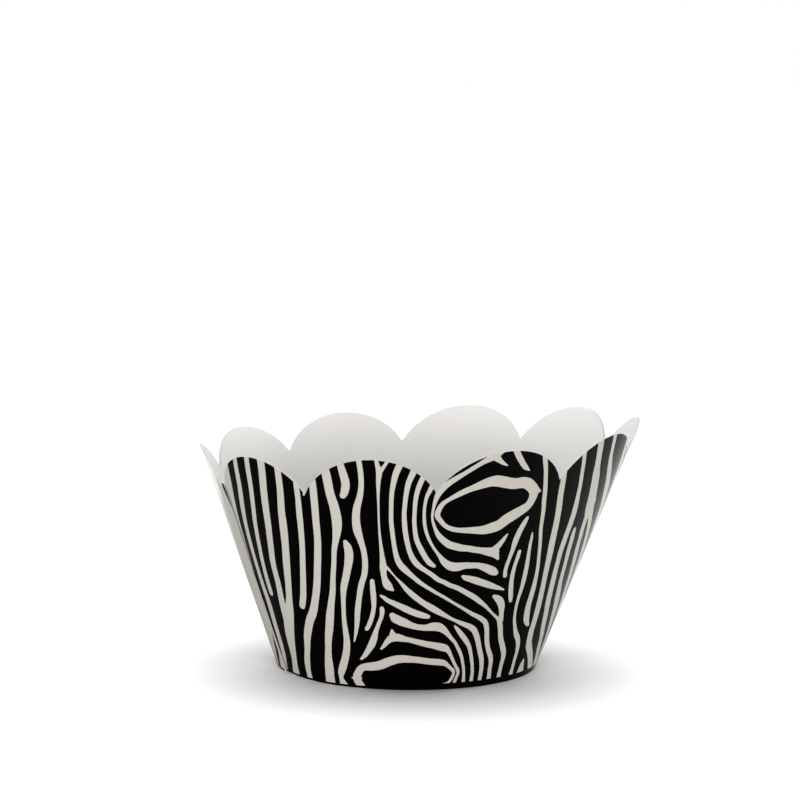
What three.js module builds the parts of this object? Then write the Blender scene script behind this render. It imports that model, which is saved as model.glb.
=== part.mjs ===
// Cupcake wrapper: one die-cut sheet of printed card, curved into a flared ring with a scalloped rim,
// its two ends lapped over each other and glued. It has no bottom and stands on its lower edge.
// Millimetres, +Z up. The front faces -Y. Angles run round the axis from the front, positive to the right.

import * as THREE from 'three';
import { mergeVertices } from 'three/addons/utils/BufferGeometryUtils.js';

// Card
const CARD_THICKNESS = 0.35;

// Ring, measured to the middle of the card
const BASE_RADIUS = 25;
const MOUTH_RADIUS = 42.4;
const CREST_HEIGHT = 45.6;

// The hand-closed ring isn't quite true: its mouth leans to the right and is higher there and in front
const MOUTH_LEAN = 2.2;
const RIGHT_RISE = 2.7;
const FRONT_RISE = 1;

// Scalloped rim: equal circular arcs, and the depth of the valleys below the crests along the card
const SCALLOP_COUNT = 10;
const SCALLOP_DEPTH = 7.2;

// Glued lap: the sheet's plain end runs on beneath its other end
const SEAM_ANGLE = -67.4;
const LAP_ANGLE = 14;
const GLUE_THICKNESS = 0.15;
const SETTLING_ANGLE = 36;

// The free corner of the upper layer stands a little proud at the rim
const CORNER_LIFT = 0.5;
const CORNER_LIFT_HEIGHT = 7;
const CORNER_LIFT_ANGLE = 9;

// Fineness of the faceted sheet
const COLUMNS_PER_SCALLOP = 16;
const LAP_COLUMNS = 6;
const ROWS = 8;

// Sizes that follow from the driving ones
const flare = Math.atan2(MOUTH_RADIUS - BASE_RADIUS, CREST_HEIGHT);
const slant = Math.hypot(MOUTH_RADIUS - BASE_RADIUS, CREST_HEIGHT);
const valleyShare = 1 - SCALLOP_DEPTH / slant;
const scallopAngle = 360 / SCALLOP_COUNT;
const underLayerInset = CARD_THICKNESS + GLUE_THICKNESS;

// Radius of the ring at a share of the slant, 0 at the table and 1 at the crests
function ringRadius(share) {
  return THREE.MathUtils.lerp(BASE_RADIUS, MOUTH_RADIUS, share);
}

// Each scallop is a circular arc that stands on a chord between two valleys
const chord = ringRadius((valleyShare + 1) / 2) * THREE.MathUtils.degToRad(scallopAngle);
const arcRadius = (chord * chord / 4 + SCALLOP_DEPTH * SCALLOP_DEPTH) / (2 * SCALLOP_DEPTH);

// Share of the slant that the rim reaches at an angle: scallops round the ring, level on the lap's under layer
function rimShare(angle) {
  const turn = (angle - SEAM_ANGLE) / scallopAngle;
  if (turn < 0) {
    return valleyShare;
  }
  const alongChord = (turn - Math.floor(turn) - 0.5) * chord;
  const arcHeight = Math.sqrt(arcRadius * arcRadius - alongChord * alongChord) - (arcRadius - SCALLOP_DEPTH);
  return valleyShare + arcHeight / slant;
}

// How far the card lies inside the ring: a layer deep under the lap, easing out to the ring beyond it
function layerInset(angle) {
  return underLayerInset * (1 - THREE.MathUtils.smoothstep(angle - SEAM_ANGLE, 0, SETTLING_ANGLE));
}

// How far the free corner of the upper layer stands out from the ring
function cornerLift(angle, share) {
  const fromEdge = SEAM_ANGLE + 360 - angle;
  const belowValley = (valleyShare - share) * slant;
  const alongRing = 1 - THREE.MathUtils.smoothstep(fromEdge, 0, CORNER_LIFT_ANGLE);
  const downEdge = 1 - THREE.MathUtils.smoothstep(belowValley, 0, CORNER_LIFT_HEIGHT);
  return CORNER_LIFT * alongRing * downEdge;
}

// Point of the card at an angle and a share of the slant; side is -0.5 on the inner face, 0.5 on the outer one
function cardPoint(angle, share, side) {
  const turn = THREE.MathUtils.degToRad(angle);
  const outward = new THREE.Vector3(Math.sin(turn), -Math.cos(turn), 0);
  const base = outward.clone().multiplyScalar(BASE_RADIUS);
  const mouth = outward.clone().multiplyScalar(MOUTH_RADIUS);
  mouth.x += MOUTH_LEAN;
  mouth.z = CREST_HEIGHT + RIGHT_RISE * Math.sin(turn) + FRONT_RISE * Math.cos(turn);
  const throughCard = (side * CARD_THICKNESS - layerInset(angle)) / Math.cos(flare);
  return base.lerp(mouth, share).addScaledVector(outward, throughCard + cornerLift(angle, share));
}

// Angle of a column of the sheet, from the end of the under layer round to the free edge of the upper one
function columnAngle(column) {
  if (column < LAP_COLUMNS) {
    return SEAM_ANGLE - LAP_ANGLE * (1 - column / LAP_COLUMNS);
  }
  return SEAM_ANGLE + scallopAngle * (column - LAP_COLUMNS) / COLUMNS_PER_SCALLOP;
}

// The sheet starts as a flat slab of columns and rows, one card thick, and each of its points is then
// moved to its place on the ring
function makeWrapperGeometry() {
  const columns = LAP_COLUMNS + SCALLOP_COUNT * COLUMNS_PER_SCALLOP;
  const slab = new THREE.BoxGeometry(columns, ROWS, 1, columns, ROWS, 1);
  slab.deleteAttribute('normal');
  slab.deleteAttribute('uv');
  slab.translate(columns / 2, ROWS / 2, 0);
  const points = slab.attributes.position;
  for (let index = 0; index < points.count; index++) {
    const angle = columnAngle(Math.round(points.getX(index)));
    const share = rimShare(angle) * Math.round(points.getY(index)) / ROWS;
    const point = cardPoint(angle, share, points.getZ(index));
    points.setXYZ(index, point.x, point.y, point.z);
  }
  const sheet = mergeVertices(slab, 1e-4);
  sheet.computeVertexNormals();
  return sheet;
}

// The origin is the middle of the wrapper's footprint, at the height of its lower edge
function centreOnFootprint(geometry) {
  geometry.computeBoundingBox();
  const middle = geometry.boundingBox.getCenter(new THREE.Vector3());
  geometry.translate(-middle.x, -middle.y, -geometry.boundingBox.min.z);
  return geometry;
}

// Gloss-coated card, white under a black print
const printedCard = new THREE.MeshStandardMaterial({ color: '#d4cfca', roughness: 0.35, metalness: 0 });

const wrapper = new THREE.Mesh(centreOnFootprint(makeWrapperGeometry()), printedCard);
wrapper.name = 'wrapper';

const part = new THREE.Group();
part.add(wrapper);

export default part;
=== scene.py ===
"""A printed card cupcake wrapper: one die-cut sheet, striped outside, plain inside, lapped and glued."""

import logging
import math
from dataclasses import dataclass, field
from enum import Enum
from typing import Any

import bpy
import numpy as np
from mathutils import Matrix, Vector
from mathutils.geometry import delaunay_2d_cdt


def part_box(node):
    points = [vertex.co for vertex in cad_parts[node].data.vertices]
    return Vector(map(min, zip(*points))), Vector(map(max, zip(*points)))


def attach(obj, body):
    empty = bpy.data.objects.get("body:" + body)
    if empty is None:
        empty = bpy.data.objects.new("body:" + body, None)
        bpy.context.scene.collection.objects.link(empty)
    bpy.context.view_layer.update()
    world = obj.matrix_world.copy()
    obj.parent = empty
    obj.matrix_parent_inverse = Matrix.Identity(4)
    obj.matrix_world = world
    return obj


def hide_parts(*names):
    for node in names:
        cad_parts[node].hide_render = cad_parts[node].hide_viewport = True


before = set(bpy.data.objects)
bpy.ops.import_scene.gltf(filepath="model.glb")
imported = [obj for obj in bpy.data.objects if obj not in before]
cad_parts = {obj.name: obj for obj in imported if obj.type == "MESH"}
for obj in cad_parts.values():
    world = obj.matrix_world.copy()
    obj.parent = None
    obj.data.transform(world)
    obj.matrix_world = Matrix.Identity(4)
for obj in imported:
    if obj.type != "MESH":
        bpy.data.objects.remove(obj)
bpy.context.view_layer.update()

LOG = logging.getLogger("wrapper")
MM = 0.001

Station = tuple[float, float, float]
Stripe = tuple[Station, ...]
Colour = tuple[float, float, float, float]

# The print. Each white stripe is a row of stations down its middle: degrees round the ring from the front,
# millimetres up the card from its lower edge, and the stripe's width in millimetres.
LEFT_STRIPES: dict[str, Stripe] = {
    "seam_strip": (
        (-64.3, 50, 6.6), (-64.9, 46, 5.9), (-65.6, 42, 4.7), (-66.5, 38, 3.4), (-67.2, 34, 2.4),
        (-67.6, 30, 1.7), (-68, 26, 1.2), (-68.4, 22, 0.8),
    ),
    "first": (
        (-54.8, 50, 1.4), (-56.1, 46, 1.45), (-57.3, 42, 1.6), (-59.2, 38, 1.7), (-60.9, 34, 1.6),
        (-62, 30, 1.55), (-62.8, 25, 1.5), (-63.1, 20, 1.7), (-62.8, 15, 2), (-63.6, 11, 2),
        (-64.1, 7, 2.05), (-65.1, 4, 1.9), (-67.6, 2, 2.1), (-69.4, 0, 2.3),
    ),
    "second": (
        (-49.3, 50, 1.4), (-50.4, 46, 1.45), (-51.4, 42, 1.4), (-52.9, 38, 1.4), (-54.6, 34, 1.35),
        (-55.9, 30, 1.35), (-57.3, 25, 1.35), (-57.9, 21, 1.5), (-57.9, 18.6, 1.5),
    ),
    "third": (
        (-43.9, 50, 1.9), (-44.6, 46, 1.9), (-45.8, 42, 1.9), (-46.9, 38, 1.9), (-47.9, 34, 1.8),
        (-49.2, 30, 1.75), (-50.7, 25.5, 1.7), (-51, 21, 1.75), (-51.7, 18, 1.9), (-52.2, 15.5, 1.9),
        (-52.4, 12.5, 2.1),
    ),
    "fourth": (
        (-38.4, 50, 1.5), (-38.8, 46, 1.5), (-39.4, 42, 1.6), (-40.5, 38, 1.75), (-41.3, 34, 1.95),
        (-42.3, 30, 1.85), (-43.7, 26, 1.9), (-45.1, 22, 1.75), (-46.9, 18, 1.8), (-48.6, 15.5, 2.6),
        (-51.1, 12.5, 3.15), (-52.8, 10, 3.1), (-53.8, 7.5, 2.6), (-55.1, 4, 1.9), (-56.3, 2, 2.1),
        (-57.3, 0, 2.8),
    ),
    "fifth": (
        (-33, 47, 1.1), (-33.5, 44, 1.15), (-33.7, 41, 1.2), (-34.2, 37.5, 1.35), (-34.7, 34, 1.3),
        (-35.5, 30, 1.25), (-36.7, 26, 1.3), (-38.1, 22, 1.4), (-39.4, 19, 1.5), (-40.8, 17, 1.45),
    ),
    "valley_sliver": ((-31.7, 41.5, 0.4), (-30.9, 42.4, 0.5), (-29.9, 43.6, 0.4)),
    "sixth": (
        (-28.4, 47, 1.4), (-28.5, 43, 1.5), (-28.7, 40, 1.5), (-29.1, 36, 1.45), (-29.5, 32, 1.45),
        (-30.2, 29, 1.5), (-31.1, 26, 1.5), (-32.5, 22, 1.55), (-34.1, 19, 1.6), (-36.2, 16, 1.8),
        (-38.5, 14, 1.85), (-40.3, 12, 1.85), (-41.9, 10, 1.75), (-43, 8, 1.55), (-44.3, 6, 1.45),
        (-45.6, 4, 1.6), (-46.3, 2, 1.45), (-46.3, 0, 1.5),
    ),
    "seventh": (
        (-24.8, 49, 1.6), (-24.2, 46, 1.75), (-23.7, 42, 1.75), (-22.9, 39, 1.9), (-22.6, 36.5, 2),
        (-22.8, 34.5, 1.8), (-23.6, 32, 1.3), (-24.4, 30, 1.05), (-25.1, 27, 1), (-26, 24, 1.05),
        (-26.8, 21, 1.2), (-28.1, 18, 1.4), (-29.2, 15.5, 1.65), (-30.2, 13, 1.7), (-31.4, 10.5, 1.5),
        (-32.3, 8, 1.4), (-33, 6, 1.6), (-33.4, 4, 1.95), (-33.9, 2, 2), (-34.2, 0, 2.2),
    ),
    "short_top": (
        (-20.6, 50, 1.3), (-20.1, 48, 1.35), (-19.4, 45.5, 1.55), (-19.1, 44, 1.6), (-19.6, 42.2, 1.5),
        (-20.1, 41.5, 1.25),
    ),
    "pinched": (
        (-15.5, 50, 0.95), (-15, 47, 1), (-14.9, 44, 1), (-15.4, 41.5, 1.15), (-16.5, 38.8, 1.4),
        (-16.9, 36.5, 1.5), (-16.7, 34.2, 1.6), (-15.9, 32, 1.2), (-15.2, 30, 1.05), (-14.9, 27.5, 1.1),
        (-15.3, 25, 1.1), (-16.6, 22.5, 1.1), (-17.5, 20, 1.05), (-18.4, 17, 1.1), (-19.1, 14, 0.9),
        (-19.8, 12, 0.6), (-20.6, 10.3, 0.3),
    ),
    "kinked": (
        (-20.6, 31.7, 0.9), (-20.1, 30.8, 1.5), (-19.8, 29.5, 1.65), (-20, 28, 1.65), (-20.7, 26, 1.45),
        (-21.6, 24, 1.4), (-22.6, 22, 1.3), (-23.1, 20, 1), (-23.5, 17.5, 0.85), (-23.8, 14.5, 0.9),
        (-23.7, 12, 1.1), (-23.7, 10, 1.3), (-24.3, 8, 1.4), (-25.5, 6, 1.45), (-26.9, 4.2, 1.55),
        (-28, 2.9, 1.3), (-28.3, 2, 0.85), (-27.9, 1.1, 1.2), (-27.3, 0, 2),
    ),
    "small_upper": (
        (-12.9, 23.5, 0.85), (-12.8, 22, 1), (-12.6, 19.5, 1), (-12.7, 17.7, 0.8), (-13.4, 15.8, 0.85),
        (-14.6, 14, 0.85), (-15.5, 13.1, 0.75),
    ),
    "small_lower": (
        (-9.9, 17.7, 0.75), (-9.8, 17.2, 0.9), (-10, 16, 0.75), (-11.3, 14, 0.75), (-12.3, 12.4, 0.95),
        (-12.9, 11.2, 1.25), (-13.8, 9.9, 1.35), (-15.3, 8.5, 1.1), (-17, 7.2, 0.85), (-18.4, 6.5, 0.5),
    ),
    "thin_line": (
        (-11, 50, 0.75), (-10.7, 48, 0.75), (-10.2, 46.4, 1.1), (-10.4, 44.5, 0.85), (-10.5, 42, 0.55),
        (-10.5, 39, 0.38), (-10.4, 35, 0.38), (-10.1, 32, 0.5), (-9.8, 30, 0.7), (-9.5, 28, 1),
        (-9.3, 26.3, 1.3), (-9.2, 25, 1.05), (-8.9, 24, 1.1), (-8.3, 23, 1.5), (-7.6, 22.3, 1.5),
        (-6.9, 21.9, 1.05), (-6.3, 21.6, 0.5),
    ),
    "thin_line_fork": ((-7.2, 50, 0.6), (-8.2, 48.3, 0.6), (-9.3, 47, 0.7), (-10.1, 46, 0.8)),
    "thin_line_link": (
        (-8.9, 26.6, 0.9), (-7.7, 26, 0.45), (-6.5, 25.1, 0.3), (-5.2, 24.1, 0.32), (-4, 23.3, 0.5),
    ),
}

NEST_STRIPES: dict[str, Stripe] = {
    "outermost": (
        (-4.6, 23.7, 0.4), (-3.5, 22.9, 0.6), (-2, 21.8, 0.85), (0, 20.6, 1.05), (2, 19.6, 1.05),
        (4, 18.7, 1.05), (6, 17.95, 1.2), (8, 17.2, 1.2), (10, 16.5, 1.05), (12, 15.85, 0.8),
        (14, 15.2, 0.65), (16, 14.65, 0.6), (18, 14.1, 0.8), (20, 13.6, 0.9), (22, 13.1, 1.05),
        (24, 12.3, 1.1), (25.5, 11.1, 1.05), (26.8, 9.8, 1), (28.4, 8, 0.95), (30.4, 6, 0.95),
        (31.7, 4, 0.85), (32.3, 2, 0.8), (32.8, 0, 0.9),
    ),
    "second_out": (
        (-3.9, 50, 1.3), (-4.8, 48, 1.3), (-5.9, 46, 1.2), (-6.5, 44, 1), (-6.9, 42, 0.85),
        (-7.05, 39, 0.8), (-7, 36, 0.8), (-6.7, 34, 0.82), (-6.3, 32, 0.8), (-5.8, 30, 0.85),
        (-5.1, 28.2, 1), (-4.2, 27, 1.15), (-3, 26.1, 1.2), (-1.4, 25.1, 1), (0, 24.3, 0.85),
        (2, 23.2, 0.8), (4, 22.3, 0.7), (6, 21.5, 0.65), (8, 20.7, 0.6), (10, 20, 0.55),
        (12, 19.25, 0.55), (14, 18.5, 0.5), (16, 17.8, 0.5), (18, 17.1, 0.55), (20, 16.4, 0.6),
        (22, 15.7, 0.75), (24, 15.15, 0.8), (26, 14.5, 0.9), (27.8, 13.7, 0.95), (29.1, 12.4, 0.95),
        (30.5, 10, 0.95), (32.2, 8, 0.9), (34.8, 6, 0.95), (35.7, 4.8, 0.9), (36.1, 3.6, 0.85),
        (36.9, 2, 0.9), (37.6, 0, 1.2),
    ),
    "third_out": (
        (0.6, 50, 1.3), (-0.5, 48, 1.25), (-1.6, 46, 1.2), (-2.6, 44, 1.05), (-3.1, 42, 0.9),
        (-3.4, 39.5, 0.83), (-3.5, 37.5, 0.83), (-3.3, 35.5, 0.9), (-2.8, 33, 0.9), (-2.1, 31, 0.87),
        (-1.4, 29.5, 0.9), (-0.4, 28.1, 1), (0.7, 27.1, 1.05), (2, 26.3, 0.95), (4, 25.4, 0.82),
        (6, 24.5, 0.85), (8, 23.5, 0.85), (10, 22.9, 0.85), (12, 22.2, 0.85), (14, 21.7, 0.9),
        (16, 21.1, 0.9), (18, 20.4, 0.92), (20, 19.7, 1), (22, 18.95, 0.95), (24, 18.1, 0.85),
        (26, 17.25, 0.65), (28, 16.3, 0.5), (30, 15.35, 0.45), (32, 14.5, 0.55), (33.4, 13.9, 0.8),
        (34.4, 13, 1.05), (35.3, 12, 1.05), (36.8, 10, 1.05), (39.2, 8, 1.1), (40.6, 6.9, 1.15),
        (41.5, 5.9, 1.05), (41.8, 4.5, 0.95), (42.5, 2, 0.95), (43.4, 0, 1.3),
    ),
    "third_out_blob": (
        (28.5, 19.1, 0.6), (30, 18.6, 1.15), (31.7, 17.8, 1.4), (33, 16.6, 1.3), (33.7, 15.3, 1),
        (34.4, 13.6, 1.1),
    ),
    "fourth_out": (
        (2.8, 47.5, 1.1), (1.4, 45.5, 1.05), (0.5, 44, 1), (-0.3, 42, 0.9), (-0.65, 40, 0.8),
        (-0.7, 38, 0.75), (-0.65, 36, 0.76), (-0.3, 34, 0.8), (0.35, 32, 0.87), (1.8, 30, 0.95),
        (3.5, 28.1, 0.95), (4.9, 27, 0.95), (6.2, 26.4, 0.65),
    ),
    "fifth_out": (
        (4.4, 45.5, 0.85), (3.5, 43.3, 0.85), (2.9, 42, 0.85), (2.35, 41, 0.72), (2.05, 40, 0.6),
        (1.9, 38, 0.55), (2.1, 36, 0.6), (2.7, 34, 0.6), (3.9, 32, 0.55), (5.2, 30.5, 0.5),
        (6.5, 29.3, 0.52), (7.6, 28.4, 0.7), (8.8, 27.4, 1.1), (10, 26.7, 1.4), (12, 26.05, 1.75),
        (14, 25.95, 1.7), (16, 26.1, 1.35), (18, 26, 1.2), (20, 25.9, 1.15), (22, 25.5, 1.3),
        (24, 24.95, 1.5), (26, 24.3, 1.5), (27, 23.9, 1),
    ),
    "sixth_out": (
        (20.5, 49.2, 1.2), (18.5, 48.15, 1.5), (16, 47.2, 1.05), (14, 46.3, 0.93), (12, 45.38, 0.9),
        (10, 44.47, 1.02), (8, 43.53, 1.17), (6.6, 42.68, 1.28), (5.6, 41.8, 1.3), (5, 40.8, 1),
        (4.6, 39.7, 0.75), (4.3, 38.4, 0.52), (4.2, 37, 0.45), (4.4, 35.9, 0.45), (4.9, 34.9, 0.52),
        (5.6, 33.8, 0.65), (6.6, 32.7, 0.95), (8, 31.7, 1.15), (10, 30.7, 1.35), (12, 30.2, 1.4),
        (14, 29.8, 1.32), (16, 29.6, 1.2), (18, 29.25, 1.18), (20, 29, 1.2), (22, 28.7, 1.5),
        (24, 28.45, 1.85), (25, 28.35, 1.6),
    ),
    "sixth_out_tail": (
        (18.6, 48.2, 1.5), (19.6, 47.5, 1.2), (20.4, 47, 0.85), (21.4, 46.45, 0.6), (22.5, 46, 0.25),
    ),
    "sixth_out_horn": (
        (24, 28.8, 1.3), (25.2, 29.35, 1.35), (26.1, 30.1, 1.1), (26.9, 31, 0.8), (27.6, 31.8, 0.35),
    ),
    "sixth_out_point": ((24.2, 28.4, 1.7), (25.3, 27.8, 1.35), (26.2, 27.15, 0.75), (26.6, 26.8, 0.35)),
    "diagonal": (
        (23.2, 50, 1.1), (24.2, 48.7, 1.1), (25.4, 47.4, 1.1), (26.9, 46, 1.02), (28.1, 45.1, 0.85),
        (29.3, 44.5, 0.22),
    ),
    "eye_ring": (
        (5.55, 37.1, 1), (5.9, 38.2, 1), (6.7, 39.2, 0.95), (8, 39.9, 0.82), (10, 40.7, 1.02),
        (12, 41.4, 1.2), (14, 41.95, 1.25), (16, 42.45, 1.62), (18, 42.88, 1.92), (20, 43.08, 2.15),
        (22, 42.8, 2.15), (24, 42.4, 2.12), (26, 42.1, 2.15), (28, 42.15, 2.2), (29.6, 41.9, 2.1),
        (31.3, 41.1, 2), (32.6, 40.1, 2), (32.8, 38.6, 1.8), (31.9, 37.2, 1.85), (30, 36.35, 2.1),
        (28, 35.65, 2.3), (26, 34.9, 2.35), (24, 33.9, 2.25), (22, 33.5, 2.15), (20, 33.25, 1.9),
        (18, 33.25, 1.5), (16, 33.35, 1.3), (14, 33.45, 1.1), (12, 33.6, 0.95), (10, 33.95, 0.9),
        (8, 34.7, 0.8), (6.7, 35.7, 0.85), (5.8, 36.5, 0.95), (5.55, 37.1, 1),
    ),
    "eye_corner": ((32.8, 40.1, 1.9), (33.5, 40.05, 1.6), (34.2, 39.95, 1), (34.8, 39.9, 0.3)),
}

LOWER_STRIPES: dict[str, Stripe] = {
    "long_leaf": (
        (15.7, 23.9, 0.5), (16.6, 23.6, 0.95), (18, 23.3, 1.15), (20, 22.9, 1.3), (22, 22.4, 1.3),
        (24, 21.95, 1.25), (26, 21.45, 1.15), (28, 21, 0.95), (30, 20.6, 0.65), (31.8, 20.2, 0.3),
    ),
    "short_leaf": (
        (-10.2, 20.4, 0.4), (-9.2, 20, 0.7), (-8, 19.4, 0.85), (-6, 18.8, 1.05), (-4, 18.2, 1.15),
        (-2, 17.6, 1.3), (0, 17, 1.3), (2, 16.5, 1.28), (4, 16.1, 1.2), (6, 15.75, 0.85),
    ),
    "hooked": (
        (-6.3, 16.2, 1.1), (-5.4, 15.6, 1.7), (-4, 15.1, 1.75), (-2, 14.6, 1.65), (0, 14.1, 1.35),
        (2, 13.7, 1.2), (4, 13.5, 1.2), (6, 13.45, 1.35), (8, 13.6, 1.75), (10, 13.5, 1.75),
        (12, 12.9, 1.35), (13.8, 12, 0.9), (15.7, 10.9, 0.68), (17.5, 9.9, 0.6), (19.8, 8.1, 0.62),
        (21.2, 6.9, 0.6), (22.2, 5.7, 0.56), (23.3, 4.3, 0.55), (24, 3, 0.58), (24.5, 1.7, 0.65),
        (24.7, 0, 0.7),
    ),
    "hooked_leaf": (
        (16.1, 13.5, 0.3), (17, 13, 0.6), (18.4, 12.15, 0.83), (20, 11.2, 0.94), (21.8, 10.1, 0.9),
        (23.5, 8.9, 0.76), (24.8, 7.5, 0.7), (26, 6, 0.66), (27, 4.6, 0.65), (27.8, 3.2, 0.65),
        (28.2, 1.8, 0.74), (28.5, 0, 0.85),
    ),
    "spiked": (
        (-10.3, 8.9, 0.4), (-9.2, 9.6, 0.75), (-7.8, 10.6, 1.1), (-6.2, 11.3, 1.6), (-4, 11.4, 1.6),
        (-2, 11.1, 1.25), (0, 10.9, 1.02), (2, 10.6, 1.05), (4, 10.3, 1.12), (6, 10, 1.2),
        (8, 9.75, 1.28), (10, 9.5, 1.35), (12, 9.2, 1.5), (13.8, 8.9, 1.45), (15.3, 8.3, 0.9),
        (17, 7, 0.6), (18.3, 5.9, 0.57), (19.6, 4.9, 0.57), (20.9, 4, 0.6), (21.3, 3.4, 0.58),
        (21, 2.6, 0.58), (20.6, 1.6, 0.62), (20.3, 0, 0.65),
    ),
    "spike": ((-6.4, 13.1, 0.25), (-6.3, 12.6, 0.75), (-5.9, 11.8, 1.5)),
    "lowest": (
        (-18.4, -0.6, 1.7), (-19.6, 0.6, 1.6), (-21.2, 2.1, 1.45), (-20.2, 3.3, 1.5), (-18.7, 4.4, 1.4),
        (-17, 4.75, 1.55), (-15, 4.9, 1.75), (-12, 5.15, 1.85), (-10, 5.5, 1.88), (-8, 6, 1.85),
        (-6, 6.4, 1.85), (-4, 6.7, 1.7), (-2, 6.8, 1.6), (0, 6.75, 1.5), (2, 6.65, 1.35),
        (4, 6.55, 1.3), (8, 6.2, 1.3), (12, 5.95, 1.3), (14.2, 5.75, 1.2), (15.6, 5.35, 0.85),
        (17.2, 4.7, 0.66), (19.2, 3.75, 0.62), (19.3, 3.2, 0.55), (18.7, 2.1, 0.58), (17.7, 1.4, 0.6),
        (15.6, 1.2, 0.3),
    ),
    "lowest_tip": ((-20.4, 2.15, 1.5), (-21.4, 2.12, 1.2), (-22.4, 2.1, 0.7), (-23.3, 2.1, 0.2)),
}

RIGHT_STRIPES: dict[str, Stripe] = {
    "bent_short": (
        (33, 34.7, 0.65), (32.6, 34, 1.05), (32, 32.9, 1.2), (31.5, 31.7, 1.25), (31.1, 30.2, 1.25),
        (31, 28.6, 0.95), (30.7, 27, 0.85), (30.4, 25.4, 0.8), (30.4, 24, 0.8), (30.8, 23.1, 0.8),
    ),
    "finger": (
        (33.7, 27.8, 0.8), (33.7, 26.8, 0.85), (33.5, 25, 0.82), (33.6, 23.3, 0.9), (34.1, 21.5, 0.95),
        (34.9, 19.8, 1), (35.7, 18.4, 0.95), (36.2, 17.6, 0.7),
    ),
    "stepped": (
        (36.5, 31.4, 0.25), (36.8, 30.6, 0.55), (37.1, 29, 0.68), (37.7, 27, 0.8), (38.5, 24.6, 0.98),
        (39.1, 22, 1.05), (39.4, 20, 0.9), (39.4, 18, 0.75), (39.7, 16, 0.65), (40.5, 14, 0.65),
        (41.4, 12.8, 0.68), (42.3, 11.9, 0.75), (43.4, 10.9, 0.9), (44.7, 10, 1.05), (46.4, 9.05, 1.08),
        (47.8, 7.9, 1.05), (48.8, 6.5, 0.95), (49.4, 4.5, 0.87), (50, 2.6, 0.9), (50.8, 0, 1.5),
    ),
    "first": (
        (31.9, 49, 1.05), (32.6, 47.8, 1.05), (33.5, 46, 1), (34.6, 44, 0.88), (35.5, 42, 0.9),
        (36.4, 40, 0.95), (37.1, 38, 0.98), (38, 36, 0.9), (38.7, 34, 0.86), (39.4, 32, 0.82),
        (40.5, 30, 0.8), (41.6, 28, 0.8), (42.6, 26, 0.78), (43.7, 24, 0.85), (44.5, 22, 0.95),
        (45.1, 20, 1.2), (45.5, 18, 1.35), (45.8, 16, 1.42), (46.6, 14.2, 1.52), (47.6, 12.9, 1.45),
        (48.9, 12, 1), (49.9, 11.6, 0.6),
    ),
    "second": (
        (41, 44, 1.2), (41.8, 42, 1.25), (42.4, 40, 1.38), (43.1, 38, 1.4), (44, 36, 1.48),
        (44.8, 34, 1.5), (45.5, 32, 1.58), (46.1, 30, 1.62), (46.8, 28, 1.68), (47.6, 26, 1.6),
        (48.3, 24, 1.5), (49.1, 22, 1.45), (50, 20, 1.4), (50.9, 18, 1.48), (51.8, 16, 1.6),
        (52.6, 14, 1.68), (53.3, 12, 1.6), (53.7, 10.2, 1.7), (54.6, 8.6, 1.72), (56, 7, 1.75),
        (58, 6, 1.65), (60, 5, 1.6), (62.1, 4, 1.6), (64, 3, 1.6), (66.1, 2, 1.75), (68, 1, 1.8),
        (70, 0, 1.8),
    ),
    "wedge": ((56.4, 3.8, 0.6), (56.5, 3, 1.25), (57, 2, 1.85), (57.4, 1.3, 2.4), (57.6, 0, 2.6)),
    "third": (
        (45.2, 50, 1), (46.2, 48, 1), (47.1, 46, 1), (48.1, 44, 1), (49, 42, 1.02), (50, 40, 1.05),
        (50.8, 38, 1.15), (51.6, 36, 1.4), (52.3, 34, 1.58), (52.6, 32, 1.65), (52.7, 30, 1.62),
        (52.8, 28, 1.62), (53.1, 26, 1.58), (53.8, 24, 1.48), (54.5, 22, 1.55), (55.5, 20, 1.72),
        (56.5, 18, 1.72), (57.7, 16, 1.78), (59.3, 14, 1.65), (61, 12, 1.75), (62.8, 10, 1.62),
        (65.3, 8, 1.55), (67.4, 6, 1.65), (70.1, 4, 1.75), (73, 2, 2), (76, 0, 2.2),
    ),
    "fourth": (
        (51.4, 50, 1.65), (52.5, 48, 1.68), (53.6, 46, 1.7), (54.7, 44, 1.72), (55.8, 42, 2.05),
        (57.3, 40, 2.5), (58.6, 38, 2.7), (59.9, 36, 3.1), (61.2, 34.2, 3.4), (61.9, 32.8, 2.6),
    ),
    "fourth_inner": (
        (60.9, 33.8, 1.7), (61.3, 32, 1.65), (62, 30, 1.65), (63.2, 28, 1.6), (64.3, 26, 1.65),
        (65.9, 24, 1.7), (67.5, 22, 1.7), (69.2, 20, 1.7), (72.5, 16, 1.7), (76.3, 12, 1.7),
        (80.6, 8, 1.7), (85.4, 4, 1.7), (91, 0, 1.7),
    ),
    "fourth_outer": (
        (62.6, 34, 1.7), (64.6, 32, 1.6), (66.9, 30, 1.5), (68.8, 28, 1.5), (72.5, 24, 1.55),
        (76, 20, 1.6), (79.8, 16, 1.6), (84.1, 12, 1.6), (88.9, 8, 1.5), (93.5, 4.5, 1),
        (97, 2.4, 0.5),
    ),
    "fifth": (
        (56.4, 30.2, 1), (56.7, 29.3, 1.3), (57.3, 28, 1.4), (58, 26, 1.5), (59.1, 24, 1.4),
        (60.1, 22, 1.4), (61.2, 20, 1.5), (62.8, 18, 1.65), (64.8, 16, 2), (67, 14, 2.05),
        (68.9, 12, 1.9), (70.8, 10, 1.7), (72.9, 8, 1.6), (77, 4, 1.6), (82, 0, 1.7),
    ),
    "sixth": (
        (58, 50, 1.2), (59.1, 48, 1.2), (60.2, 46, 1.2), (61.5, 44, 1.3), (63.5, 42, 1.6),
        (65.8, 40, 1.85), (67.9, 38, 2.1), (69.9, 36, 2.1), (72, 34, 2), (75, 30, 1.9),
        (78.4, 26, 1.8), (82.1, 22, 1.7), (86.2, 18, 1.6), (90.8, 14, 1.4), (95, 10.8, 0.6),
    ),
}

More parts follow.
